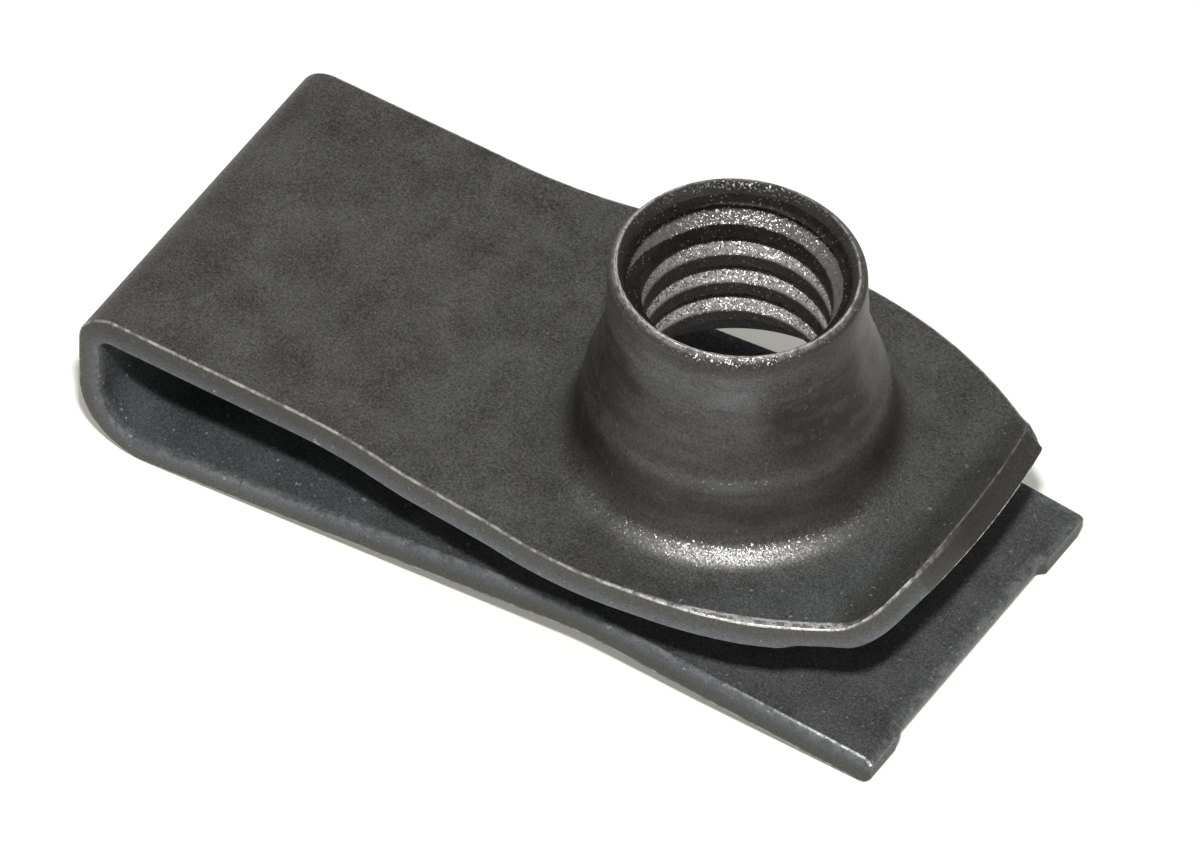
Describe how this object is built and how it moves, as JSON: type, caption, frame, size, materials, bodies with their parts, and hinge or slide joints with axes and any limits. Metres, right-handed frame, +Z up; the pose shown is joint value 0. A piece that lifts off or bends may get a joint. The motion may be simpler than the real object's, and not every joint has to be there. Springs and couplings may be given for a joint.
{
  "type": "u clip speed nut",
  "caption": "Folded spring-steel clip with a tapped barrel on its top leaf and a clearance hole in its lower leaf, pushed over a panel's edge to hold a screw.",
  "frame": {"origin": "on the screw's axis, half way through the lower leaf at its clearance hole", "axes": "+Z up along the screw's axis towards the barrel's rim, +X from the closed end towards the open mouth, Y across the strip"},
  "size_m": [0.0334, 0.0182, 0.0144],
  "materials": {
    "phosphated_steel": "black phosphate coat, satin, dry to the touch, worn bright along its cut edges"
  },
  "bodies": {
    "root": {"clip_nut": "phosphated_steel"}
  },
  "joints": []
}
